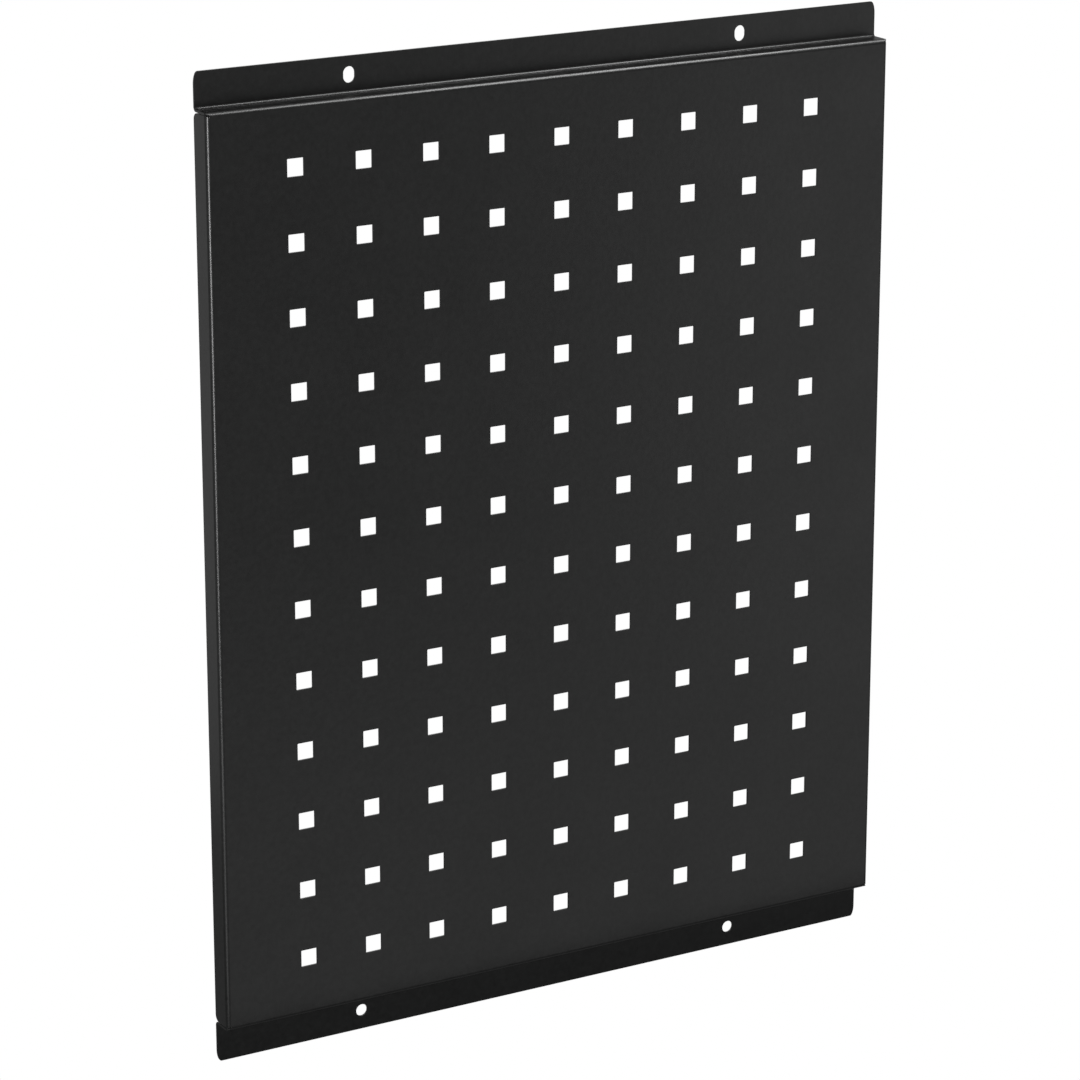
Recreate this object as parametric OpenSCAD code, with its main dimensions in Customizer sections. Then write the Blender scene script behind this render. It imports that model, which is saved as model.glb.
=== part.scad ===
// Perforated tool panel for a wall, folded from one sheet of steel.
//
// The face is a shallow tray, open at the back. Its sides fold straight back to the wall.
// Its top and bottom fold back and then out again, into flanges that lie on the wall and
// take the screws. X runs to the right, Z up, and the wall is the plane Y = 0 behind the
// panel. The origin is on the wall, midway between the two hanging slots.

/* [Panel] */
// Width over the side returns
panel_w = 400; // [360:1:1200]
// Height of the raised face, from the top return to the bottom return
face_h = 481; // [450:1:1200]
// Reach of the top screw flange above the raised face
top_reach = 18.5; // [18:0.5:40]
// Reach of the bottom screw flange below the raised face
bottom_reach = 21.5; // [18:0.5:40]
// Depth from the wall to the front of the face
panel_depth = 14; // [10:0.5:40]
// Thickness of the sheet
sheet_t = 1.2; // [0.8:0.1:2]
// Inside radius of every bend
bend_r = 1.2; // [0.6:0.1:2]

/* [Corners] */
// Radius of the flanges' outer corners
flange_corner_r = 6.5; // [1:0.5:10]
// Radius of the side returns' corners at the wall
return_corner_r = 3.5; // [1:0.5:6]
// Gap between a side return and the top or bottom return
return_gap = 0.4; // [0.2:0.1:0.5]
// Height of the slit between the two bends at each corner of the face
corner_slit = 0.3; // [0.2:0.1:0.4]

/* [Peg holes] */
// Number of holes across
peg_columns = 9; // [1:1:9]
// Number of holes down
peg_rows = 12; // [1:1:12]
// Distance between the centres of neighbouring holes
peg_pitch = 38; // [20:1:38]
// Side of the square hole
peg_hole = 9.2; // [5:0.1:12]

/* [Screw holes] */
// Distance across between the holes of a flange
screw_spacing_x = 230; // [100:1:340]
// Diameter of the lower holes and width of the upper slots
screw_hole_d = 6.6; // [4:0.1:8]
// Length of the upper slots, end to end
slot_length = 8.3; // [8:0.1:10]
// Height of the slots' middles above the raised face
slot_rise = 9; // [8:0.5:11]
// Distance of the lower holes' middles below the raised face
hole_drop = 11; // [8:0.5:12]

/* [Hidden] */
$fn = 64;
bend_outer_r = bend_r + sheet_t;
flat_w = panel_w - 2 * bend_outer_r;
flat_h = face_h - 2 * bend_outer_r;
// Height of a side return, which is a little more than that of the bend at its root
side_h = flat_h + 2 * (bend_r - return_gap);
powder_black = "#272828";

// Quarter of a ring: the section of a bend, from +x round to +y
module bend_section() {
    intersection() {
        difference() {
            circle(bend_outer_r);
            circle(bend_r);
        }
        square(bend_outer_r);
    }
}

// Extrudes an outline drawn in x and z by one sheet thickness, its back at depth y
module sheet_facing_front(y) {
    translate([0, y, 0]) rotate([90, 0, 0]) linear_extrude(sheet_t) children();
}

// Extrudes an outline drawn in y and z along x, about the middle of the panel
module along_width(width) {
    translate([-width / 2, 0, 0]) rotate([90, 0, 90]) linear_extrude(width) children();
}

// The flat face with its grid of square holes
module face() {
    sheet_facing_front(sheet_t - panel_depth) difference() {
        square([flat_w, flat_h], center = true);
        for (column = [0:peg_columns - 1], row = [0:peg_rows - 1])
            translate([
                (column - (peg_columns - 1) / 2) * peg_pitch,
                (row - (peg_rows - 1) / 2) * peg_pitch
            ]) square(peg_hole, center = true);
    }
}

// The return at the right-hand side: a bend and a strip that reaches the wall
module side_return() {
    bend_y = bend_outer_r - panel_depth;
    translate([flat_w / 2, bend_y]) linear_extrude(flat_h, center = true)
        mirror([0, 1]) bend_section();
    translate([panel_w / 2 - sheet_t / 2, 0, 0]) along_width(sheet_t) {
        translate([bend_y, -side_h / 2]) square([-bend_y - return_corner_r, side_h]);
        translate([-return_corner_r, return_corner_r - side_h / 2])
            square([return_corner_r, side_h - 2 * return_corner_r]);
        for (end = [-1, 1])
            translate([-return_corner_r, end * (side_h / 2 - return_corner_r)])
                circle(return_corner_r);
    }
}

// Outline of the bend at the face's top edge
module top_bend_section() {
    translate([bend_outer_r - panel_depth, flat_h / 2]) mirror([1, 0]) bend_section();
}

// Outline of the panel's front seen from above, rounded as the side bends are
module front_plan() {
    translate([-flat_w / 2, -panel_depth]) square([flat_w, bend_outer_r]);
    for (side = [-1, 1])
        translate([side * flat_w / 2, bend_outer_r - panel_depth]) circle(bend_outer_r);
}

// The fold from the face's top edge back to the wall: bend, return and reversed bend. Above
// the slits the bend widens as the side bends do, and the rest is as wide as the panel
module stepped_return() {
    along_width(flat_w) top_bend_section();
    intersection() {
        along_width(panel_w) intersection() {
            top_bend_section();
            translate([-panel_depth, flat_h / 2 + corner_slit]) square(bend_outer_r);
        }
        translate([0, 0, flat_h / 2]) linear_extrude(bend_outer_r) front_plan();
    }
    along_width(panel_w) {
        translate([bend_outer_r - panel_depth, face_h / 2 - sheet_t])
            square([panel_depth - 2 * bend_outer_r, sheet_t]);
        translate([-bend_outer_r, face_h / 2 + bend_r]) mirror([0, 1]) bend_section();
    }
}

// A round hole, or an upright slot where its length is more than the holes' diameter
module screw_hole(slot_l) {
    travel = slot_l - screw_hole_d;
    if (travel > 0) {
        square([screw_hole_d, travel], center = true);
        for (end = [-1, 1]) translate([0, end * travel / 2]) circle(d = screw_hole_d);
    } else circle(d = screw_hole_d);
}

// The flat flange above the stepped return, as far as reach from the face's edge. It has two
// holes that are slot_l long, with their middles at hole_rise from that edge
module screw_flange(reach, hole_rise, slot_l) {
    root_z = face_h / 2 + bend_r;
    tip_z = face_h / 2 + reach;
    corner_z = tip_z - flange_corner_r;
    corner_x = panel_w / 2 - flange_corner_r;
    sheet_facing_front(0) difference() {
        union() {
            translate([-panel_w / 2, root_z]) square([panel_w, corner_z - root_z]);
            translate([-corner_x, root_z]) square([2 * corner_x, tip_z - root_z]);
            for (side = [-1, 1]) translate([side * corner_x, corner_z]) circle(flange_corner_r);
        }
        for (side = [-1, 1])
            translate([side * screw_spacing_x / 2, face_h / 2 + hole_rise]) screw_hole(slot_l);
    }
}

// The whole folded sheet, its middle shifted down so that the hanging slots are at Z = 0
module perforated_panel() {
    color(powder_black) translate([0, 0, -face_h / 2 - slot_rise]) {
        face();
        side_return();
        mirror([1, 0, 0]) side_return();
        stepped_return();
        mirror([0, 0, 1]) stepped_return();
        screw_flange(top_reach, slot_rise, slot_length);
        mirror([0, 0, 1]) screw_flange(bottom_reach, hole_drop, screw_hole_d);
    }
}

perforated_panel();
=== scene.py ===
import math

import bmesh
import bpy
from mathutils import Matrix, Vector


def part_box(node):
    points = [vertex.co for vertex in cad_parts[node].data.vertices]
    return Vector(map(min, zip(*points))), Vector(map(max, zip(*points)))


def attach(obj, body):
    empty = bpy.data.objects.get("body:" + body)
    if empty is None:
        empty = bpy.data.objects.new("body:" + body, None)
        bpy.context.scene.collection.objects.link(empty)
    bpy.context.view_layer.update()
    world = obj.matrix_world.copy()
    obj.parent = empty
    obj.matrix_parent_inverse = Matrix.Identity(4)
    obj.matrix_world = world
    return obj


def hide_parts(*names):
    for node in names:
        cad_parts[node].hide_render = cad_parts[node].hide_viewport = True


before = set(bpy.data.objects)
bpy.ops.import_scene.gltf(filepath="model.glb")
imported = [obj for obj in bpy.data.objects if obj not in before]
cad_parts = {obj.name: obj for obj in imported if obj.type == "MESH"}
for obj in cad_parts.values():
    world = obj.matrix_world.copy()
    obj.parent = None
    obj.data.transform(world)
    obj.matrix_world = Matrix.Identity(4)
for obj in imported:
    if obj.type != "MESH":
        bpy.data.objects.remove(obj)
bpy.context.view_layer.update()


# Folded sheet
# The whole panel is one blank of 1.2 mm steel sheet. Its peg holes, screw holes and corner
# slits are cut while it is flat. A press brake then folds the sides straight back, and the
# top and bottom back and out again, so that the two screw flanges lie on the wall.

SHEET = 0.0012                       # thickness of the steel
BEND_INSIDE = 0.0012                 # inside radius of every bend
BEND_OUTSIDE = BEND_INSIDE + SHEET
TOP_REACH = 0.0185                   # of the top screw flange, above the raised face
BOTTOM_REACH = 0.0215                # of the bottom screw flange, below the raised face
BEND_STEPS = 12                      # facets in each quarter turn of a bend
NEAR = 0.00001                       # how close to a place an edge has to be to be found

panel_low, panel_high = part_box("perforated_panel")
wall_y, front_y = panel_high.y, panel_low.y
half_width = (panel_high.x - panel_low.x) / 2
half_height = (panel_high.z - panel_low.z - TOP_REACH - BOTTOM_REACH) / 2
middle_z = panel_low.z + BOTTOM_REACH + half_height
flat_half_width = half_width - BEND_OUTSIDE
flat_half_height = half_height - BEND_OUTSIDE


def place_of(element):
    """Middle of a vertex, edge or face, with its height taken from the middle of the face."""
    if isinstance(element, bmesh.types.BMVert):
        middle = element.co
    elif isinstance(element, bmesh.types.BMEdge):
        middle = (element.verts[0].co + element.verts[1].co) / 2
    else:
        middle = element.calc_center_median()
    return middle - Vector((0, 0, middle_z))


def pick(kind, wanted):
    """Selects only the verts, edges or faces of the mesh being edited that are wanted."""
    bpy.ops.mesh.select_mode(type=kind)
    bpy.ops.mesh.select_all(action="DESELECT")
    sheet = bmesh.from_edit_mesh(bpy.context.edit_object.data)
    for element in {"VERT": sheet.verts, "EDGE": sheet.edges, "FACE": sheet.faces}[kind]:
        if wanted(element):
            element.select_set(True)
    sheet.select_flush_mode()
    bmesh.update_edit_mesh(bpy.context.edit_object.data)


def score(x=None, z=None):
    """Marks a straight line across the faces that are selected, at that x or height."""
    upright = x is not None
    place = (x, front_y, middle_z) if upright else (0, front_y, middle_z + z)
    bpy.ops.mesh.bisect(plane_co=place, plane_no=(1, 0, 0) if upright else (0, 0, 1))


def draw_out(x=0, y=0, z=0):
    """Extends the selected edges into a flat strip."""
    bpy.ops.mesh.extrude_region_move(TRANSFORM_OT_translate={"value": (x, y, z)})


def turn(angle, centre, axis):
    """Extends the selected edges into a bend."""
    bpy.ops.mesh.spin(
        steps=BEND_STEPS, angle=math.radians(angle),
        center=(centre[0], centre[1], middle_z + centre[2]), axis=axis,
    )


def bend_spread(step):
    """How far out a bend has come after so many of its steps, as a part of its radius."""
    return math.sin(math.radians(90) * step / BEND_STEPS)


bpy.ops.object.select_all(action="DESELECT")
bpy.ops.mesh.primitive_plane_add(
    size=1, location=(0, front_y, middle_z), rotation=(math.radians(90), 0, 0)
)
panel = bpy.context.active_object
panel.name = panel.data.name = "folded_panel"
panel.scale = (2 * flat_half_width, 2 * flat_half_height, 1)
bpy.ops.object.transform_apply(location=True, rotation=True, scale=True)
bpy.ops.object.mode_set(mode="EDIT")

# Peg holes: the face is marked along both sides of every column and row, and the squares
# where the bands cross are punched out.
PEG_COLUMNS, PEG_ROWS = 9, 12
PEG_PITCH = 0.038
PEG_HOLE = 0.0092


def hole_lines(count):
    """Distances from the middle of the grid to the sides of its holes."""
    middles = [(i - (count - 1) / 2) * PEG_PITCH for i in range(count)]
    return [middle + side * PEG_HOLE / 2 for middle in middles for side in (-1, 1)]


def in_a_hole(distance, count):
    """True between the two sides of a hole."""
    lines = hole_lines(count)
    return any(low < distance < high for low, high in zip(lines[::2], lines[1::2]))


for line in hole_lines(PEG_COLUMNS):
    pick("FACE", lambda face: True)
    score(x=line)
for line in hole_lines(PEG_ROWS):
    pick("FACE", lambda face: True)
    score(z=line)
pick("FACE", lambda face: in_a_hole(place_of(face).x, PEG_COLUMNS)
     and in_a_hole(place_of(face).z, PEG_ROWS))
bpy.ops.mesh.delete(type="FACE")

# Side returns: a quarter turn and a strip that reaches the wall, with its corners at the
# wall rounded. The bend's ends rise beside the folds above and below, to close the corners.
RETURN_CORNER = 0.0035
RETURN_CORNER_STEPS = 8              # facets round that corner
CORNER_SLIT = 0.0003                 # between the two bends at each corner of the face
RETURN_GAP = 0.0004                  # between a side return and the fold above or below it
side_half_height = flat_half_height + BEND_INSIDE - RETURN_GAP

for side in (-1, 1):
    pick("EDGE", lambda edge: edge.is_boundary
         and abs(place_of(edge).x - side * flat_half_width) < NEAR)
    turn(-side * 90, (side * flat_half_width, front_y + BEND_OUTSIDE, 0), (0, 0, 1))
    pick("EDGE", lambda edge: edge.is_boundary
         and all(abs(vert.co.x - side * half_width) < NEAR for vert in edge.verts))
    draw_out(y=wall_y - front_y - BEND_OUTSIDE)
    for end in (-1, 1):
        for step in range(1, BEND_STEPS + 1):
            x = flat_half_width + BEND_OUTSIDE * bend_spread(step)
            extra = min(
                BEND_INSIDE * bend_spread(step) - CORNER_SLIT / 2, BEND_INSIDE - RETURN_GAP
            )
            pick("VERT", lambda vert: abs(side * vert.co.x - x) < NEAR
                 and end * place_of(vert).z > flat_half_height - NEAR)
            bpy.ops.transform.translate(value=(0, 0, end * extra))
pick("VERT", lambda vert: vert.co.y > wall_y - NEAR
     and abs(place_of(vert).z) > side_half_height - NEAR)
bpy.ops.mesh.bevel(affect="VERTICES", offset=RETURN_CORNER, segments=RETURN_CORNER_STEPS)

# Stepped returns and screw flanges: a quarter turn back, a strip, a quarter turn the other
# way and a flange along the wall. Past a slit, the first bend widens as the side bends do.
FLANGE_CORNER = 0.0065
FLANGE_CORNER_STEPS = 10             # facets round that corner
SCREW_X = 0.115                      # from the middle to a column of screw holes
SCREW_HOLE_RADIUS = 0.0033
SLOT_TRAVEL = 0.0017                 # how much longer than wide the upper slots are
SLOT_RISE = 0.009                    # from the face up to the middles of the upper slots
HOLE_DROP = 0.011                    # from the face down to the middles of the lower holes
HOLE_SIDES = 32                      # corners round a screw hole
flange_y = wall_y - SHEET            # front of a flange
root_half_height = half_height + BEND_INSIDE
patch = 2 * SCREW_HOLE_RADIUS        # half the side of the square round a screw hole


def drill(x, z, travel):
    """Opens a screw hole, or an upright slot if it has some travel, in its marked square."""
    def away(element):
        """From the middle of the hole to the element."""
        return place_of(element) - Vector((x, flange_y, z))

    def near(element):
        """True in the marked square and on its sides."""
        return max(abs(away(element).x), abs(away(element).z)) < patch + NEAR

    pick("FACE", near)
    bpy.ops.mesh.delete(type="ONLY_FACE")
    pick("EDGE", near)
    bpy.ops.mesh.subdivide(number_cuts=HOLE_SIDES // 4 - 1)
    bpy.ops.mesh.select_all(action="DESELECT")
    bpy.ops.mesh.primitive_circle_add(
        vertices=HOLE_SIDES, radius=SCREW_HOLE_RADIUS,
        location=(x, flange_y - patch, middle_z + z),
        rotation=(math.radians(90), math.pi / HOLE_SIDES, 0),
    )
    pick("EDGE", lambda edge: near(edge) and len(edge.link_faces) < 2)
    bpy.ops.mesh.bridge_edge_loops()
    pick("VERT", lambda vert: near(vert) and vert.co.y < flange_y - NEAR)
    bpy.ops.transform.translate(value=(0, patch, 0))
    for half in (-1, 1):
        pick("VERT", lambda vert: away(vert).length < SCREW_HOLE_RADIUS + travel
             and half * away(vert).z > 0)
        bpy.ops.transform.translate(value=(0, 0, half * travel / 2))


for end, reach, hole_rise, travel in (
    (1, TOP_REACH, SLOT_RISE, SLOT_TRAVEL), (-1, BOTTOM_REACH, HOLE_DROP, 0),
):
    pick("EDGE", lambda edge: edge.is_boundary
         and abs(place_of(edge).z - end * flat_half_height) < NEAR
         and abs(place_of(edge).x) < flat_half_width)
    turn(end * 90, (0, front_y + BEND_OUTSIDE, end * flat_half_height), (1, 0, 0))
    pick("EDGE", lambda edge: edge.is_boundary
         and all(abs(place_of(vert).z - end * half_height) < NEAR for vert in edge.verts))
    draw_out(y=wall_y - front_y - 2 * BEND_OUTSIDE)
    turn(-end * 90, (0, wall_y - BEND_OUTSIDE, end * root_half_height), (1, 0, 0))
    pick("EDGE", lambda edge: edge.is_boundary
         and all(abs(place_of(vert).z - end * root_half_height) < NEAR for vert in edge.verts))
    draw_out(z=end * (reach - BEND_INSIDE))
    for side in (-1, 1):
        pick("EDGE", lambda edge: edge.is_boundary
             and end * place_of(edge).z > flat_half_height + CORNER_SLIT
             and all(abs(vert.co.x - side * flat_half_width) < NEAR for vert in edge.verts))
        draw_out(x=side * BEND_OUTSIDE)
        for step in range(1, BEND_STEPS):
            spread = BEND_OUTSIDE * bend_spread(step)
            pick("VERT", lambda vert: side * vert.co.x > half_width - NEAR
                 and abs(place_of(vert).z - end * (flat_half_height + spread)) < NEAR)
            bpy.ops.transform.translate(value=(side * (spread - BEND_OUTSIDE), 0, 0))
    pick("VERT", lambda vert: end * place_of(vert).z > half_height + reach - NEAR
         and abs(vert.co.x) > half_width - NEAR)
    bpy.ops.mesh.bevel(affect="VERTICES", offset=FLANGE_CORNER, segments=FLANGE_CORNER_STEPS)
    pick("FACE", lambda face: end * place_of(face).z > root_half_height)
    bpy.ops.mesh.dissolve_faces()
    hole_z = end * (half_height + hole_rise)
    for side in (-1, 1):
        for line in (-patch, patch):
            pick("FACE", lambda face: end * place_of(face).z > root_half_height)
            score(x=side * SCREW_X + line)
    for line in (-patch, patch):
        pick("FACE", lambda face: end * place_of(face).z > root_half_height)
        score(z=hole_z + line)
    for side in (-1, 1):
        drill(side * SCREW_X, hole_z, travel)

# Thickness: the sheet drawn so far is the outer skin, and the steel lies inside it.
PEG_CORNER = 0.0004                  # the punch's corners are all but square
PEG_CORNER_STEPS = 3                 # facets round such a corner
EDGE_ROUNDING = 0.00015              # the coat rounds every cut edge
EDGE_ROUNDING_STEPS = 2              # facets across a rounded edge
SHARPEST_BEND = math.radians(40)     # anything sharper than this is an edge

bpy.ops.mesh.select_mode(type="FACE")
bpy.ops.mesh.select_all(action="SELECT")
bpy.ops.mesh.remove_doubles(threshold=NEAR)
bpy.ops.mesh.normals_make_consistent(inside=False)
if next(iter(bmesh.from_edit_mesh(panel.data).faces)).normal.y > 0:
    bpy.ops.mesh.flip_normals()
bpy.ops.object.mode_set(mode="OBJECT")
thickness = panel.modifiers.new("thickness", "SOLIDIFY")
thickness.thickness = SHEET
thickness.offset = -1
thickness.use_even_offset = True
bpy.ops.object.modifier_apply(modifier=thickness.name)
bpy.ops.object.mode_set(mode="EDIT")
pick("EDGE", lambda edge: abs(edge.calc_length() - SHEET) < NEAR
     and abs(edge.verts[0].co.x - edge.verts[1].co.x) < NEAR
     and abs(edge.verts[0].co.z - edge.verts[1].co.z) < NEAR
     and abs(place_of(edge).x) < flat_half_width - NEAR
     and abs(place_of(edge).z) < flat_half_height - NEAR)
bpy.ops.mesh.bevel(affect="EDGES", offset=PEG_CORNER, segments=PEG_CORNER_STEPS)
bpy.ops.object.mode_set(mode="OBJECT")
rounding = panel.modifiers.new("rounding", "BEVEL")
rounding.width = EDGE_ROUNDING
rounding.segments = EDGE_ROUNDING_STEPS
rounding.limit_method = "ANGLE"
rounding.angle_limit = SHARPEST_BEND
bpy.ops.object.modifier_apply(modifier=rounding.name)
bpy.ops.object.shade_smooth_by_angle(angle=SHARPEST_BEND)
evenness = panel.modifiers.new("evenness", "WEIGHTED_NORMAL")
evenness.keep_sharp = True
bpy.ops.object.modifier_apply(modifier=evenness.name)

# Black powder coat: a thin polyester film, baked on, so it has a low satin sheen, the fine
# ripple called orange peel, and a faintly uneven gloss where the film is thicker.
COAT_BLACK = (0.0050, 0.0052, 0.0051)
COAT_ROUGHNESS = (0.28, 0.34)        # where the film is thickest and thinnest
PEEL_SIZE = 0.0026                   # across one of the broadest ripples
PEEL_DETAIL = 2                      # layers of finer ripples on top of those
PEEL_HEIGHT = 0.00004
PEEL_TINT = 0.9                      # how much the ripple lightens and darkens the black
CLOUD_SIZE = 0.05                    # across one patch of thicker film
CLOUD_DETAIL = 3                     # layers of smaller patches on top of those
CLOUD_RANGE = (0.3, 0.7)             # of the cloud pattern, where the gloss changes


def powder_coat():
    """The black satin finish with its ripple, all on the piece's own coordinates."""
    coat = bpy.data.materials.new("black_powder_coat")
    coat.use_nodes = True
    nodes, links = coat.node_tree.nodes, coat.node_tree.links
    shader = nodes["Principled BSDF"]
    place = nodes.new("ShaderNodeTexCoord")
    clouds = nodes.new("ShaderNodeTexNoise")
    clouds.inputs["Scale"].default_value = 1 / CLOUD_SIZE
    clouds.inputs["Detail"].default_value = CLOUD_DETAIL
    links.new(place.outputs["Object"], clouds.inputs["Vector"])
    ripple = nodes.new("ShaderNodeTexNoise")
    ripple.inputs["Scale"].default_value = 1 / PEEL_SIZE
    ripple.inputs["Detail"].default_value = PEEL_DETAIL
    links.new(place.outputs["Object"], ripple.inputs["Vector"])
    tint = nodes.new("ShaderNodeMix")
    tint.data_type = "RGBA"
    tint.inputs["A"].default_value = [(1 - PEEL_TINT) * channel for channel in COAT_BLACK] + [1]
    tint.inputs["B"].default_value = [(1 + PEEL_TINT) * channel for channel in COAT_BLACK] + [1]
    links.new(ripple.outputs["Fac"], tint.inputs["Factor"])
    links.new(tint.outputs["Result"], shader.inputs["Base Color"])
    gloss = nodes.new("ShaderNodeMapRange")
    gloss.inputs["From Min"].default_value = CLOUD_RANGE[0]
    gloss.inputs["From Max"].default_value = CLOUD_RANGE[1]
    gloss.inputs["To Min"].default_value = COAT_ROUGHNESS[0]
    gloss.inputs["To Max"].default_value = COAT_ROUGHNESS[1]
    links.new(clouds.outputs["Fac"], gloss.inputs["Value"])
    links.new(gloss.outputs["Result"], shader.inputs["Roughness"])
    peel = nodes.new("ShaderNodeBump")
    peel.inputs["Distance"].default_value = PEEL_HEIGHT
    links.new(ripple.outputs["Fac"], peel.inputs["Height"])
    links.new(peel.outputs["Normal"], shader.inputs["Normal"])
    return coat


panel.data.materials.append(powder_coat())
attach(panel, "root")
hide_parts("perforated_panel")


# Studio
# The panel stands on its lower flange on a white table that is lit from inside, in front of
# a white backdrop, so every hole shows white. Only the steel is lit by the softboxes.
ROOM_GREY = 0.28                     # what the steel mirrors where no softbox is
TABLE_SIZE = 24
SHADE_SHEET_GREY = 0.14                      # what the steel mirrors of the painted shade sheet at its foot
SHADE_SHEET_FRONT, SHADE_SHEET_BACK = -0.06, 0.34    # depths between which the painted shade sheet lies
SHADE_SHEET_HALF_WIDTH = 0.45


def flat_material(name, grey):
    """A material of one even glow."""
    paint = bpy.data.materials.new(name)
    paint.use_nodes = True
    tree = paint.node_tree
    tree.nodes.clear()
    glow = tree.nodes.new("ShaderNodeEmission")
    glow.inputs["Color"].default_value = (grey, grey, grey, 1)
    output = tree.nodes.new("ShaderNodeOutputMaterial")
    tree.links.new(glow.outputs["Emission"], output.inputs["Surface"])
    return paint


def studio_plane(name, width, depth, place, paint):
    """A flat sheet that isn't part of the panel, and casts no shadow on it."""
    bpy.ops.object.select_all(action="DESELECT")
    bpy.ops.mesh.primitive_plane_add(size=1, location=place)
    sheet = bpy.context.active_object
    sheet.name = name
    sheet.scale = (width, depth, 1)
    sheet.data.materials.append(paint)
    sheet.visible_shadow = False
    sheet.visible_diffuse = False
    return sheet


table = studio_plane(
    "white_table", TABLE_SIZE, TABLE_SIZE,
    (0, 0, panel_low.z), flat_material("white_glow", 1),
)
table.visible_glossy = False

# A grey sheet round the foot of the panel is painted shade. It stands in for the floor's shade
# there and keeps the sheen of the panel's lower edge down. The camera doesn't see it.
shade_sheet = studio_plane(
    "painted_shade_sheet", 2 * SHADE_SHEET_HALF_WIDTH, SHADE_SHEET_BACK - SHADE_SHEET_FRONT,
    (0, (SHADE_SHEET_FRONT + SHADE_SHEET_BACK) / 2, panel_low.z), flat_material("painted_shade_glow", SHADE_SHEET_GREY),
)
shade_sheet.visible_camera = False

room = bpy.data.worlds.new("white_room")
room.use_nodes = True
bpy.context.scene.world = room
nodes, links = room.node_tree.nodes, room.node_tree.links
nodes.clear()
backdrop = nodes.new("ShaderNodeBackground")
backdrop.inputs["Color"].default_value = (1, 1, 1, 1)
walls = nodes.new("ShaderNodeBackground")
walls.inputs["Color"].default_value = (ROOM_GREY, ROOM_GREY, ROOM_GREY, 1)
ray = nodes.new("ShaderNodeLightPath")
either = nodes.new("ShaderNodeMixShader")
links.new(ray.outputs["Is Camera Ray"], either.inputs["Fac"])
links.new(walls.outputs["Background"], either.inputs[1])
links.new(backdrop.outputs["Background"], either.inputs[2])
output = nodes.new("ShaderNodeOutputWorld")
links.new(either.outputs["Shader"], output.inputs["Surface"])


def softbox(name, place, aim, width, height, glow):
    """A rectangular light whose middle is at place, which faces aim and has an even glow."""
    bpy.ops.object.light_add(type="AREA", location=place)
    lamp = bpy.context.active_object
    lamp.name = name
    lamp.data.shape = "RECTANGLE"
    lamp.data.size = width
    lamp.data.size_y = height
    lamp.data.energy = glow * math.pi * width * height
    lamp.rotation_euler = (Vector(aim) - Vector(place)).to_track_quat("-Z", "Y").to_euler()
    lamp.visible_camera = False


panel_middle = Vector((0, front_y, middle_z))
softbox("overhead_strip", (0.72, -0.25, 1.2), (0, 0, 0), 1.2, 0.35, 13)
softbox("left_strip", (-1.3, -0.92, -0.2), (-0.2, 0, -0.2), 0.3, 0.85, 21)
softbox("left_card", (-1.3, -0.92, -0.9), (-0.2, 0, -0.4), 0.7, 1.2, 0.6)
softbox("right_card", (1.4, -1.5, -0.5), panel_middle, 0.7, 1.0, 0.6)
softbox("low_card", (0.8, -1.5, -1.2), panel_middle, 1.6, 0.5, 0.35)
softbox("rear_left_card", (-0.8, 1.25, -0.35), panel_middle, 1.0, 0.8, 0.1)
softbox("rear_card", (0.2, 2.0, 0.5), panel_middle, 2.2, 1.2, 0.7)


# Camera
# It looks from the panel's upper left, from so far off that the upright edges stay nearly
# parallel, and aims a little to the left of the middle of the face and below it.
AIM_LEFT, AIM_BELOW = 0.0132, 0.0035
look_at = Vector((-AIM_LEFT, front_y, middle_z - AIM_BELOW))
CAMERA_AWAY = 2.1745
CAMERA_YAW = math.radians(30.3)
CAMERA_PITCH = math.radians(17)
FOCAL_LENGTH = 139

bpy.ops.object.camera_add(rotation=(math.radians(90) - CAMERA_PITCH, 0, -CAMERA_YAW))
camera = bpy.context.active_object
bpy.context.view_layer.update()
camera.location = look_at + camera.matrix_world.to_3x3() @ Vector((0, 0, CAMERA_AWAY))
camera.data.lens = FOCAL_LENGTH
bpy.context.scene.camera = camera
bpy.context.scene.view_settings.view_transform = "Standard"
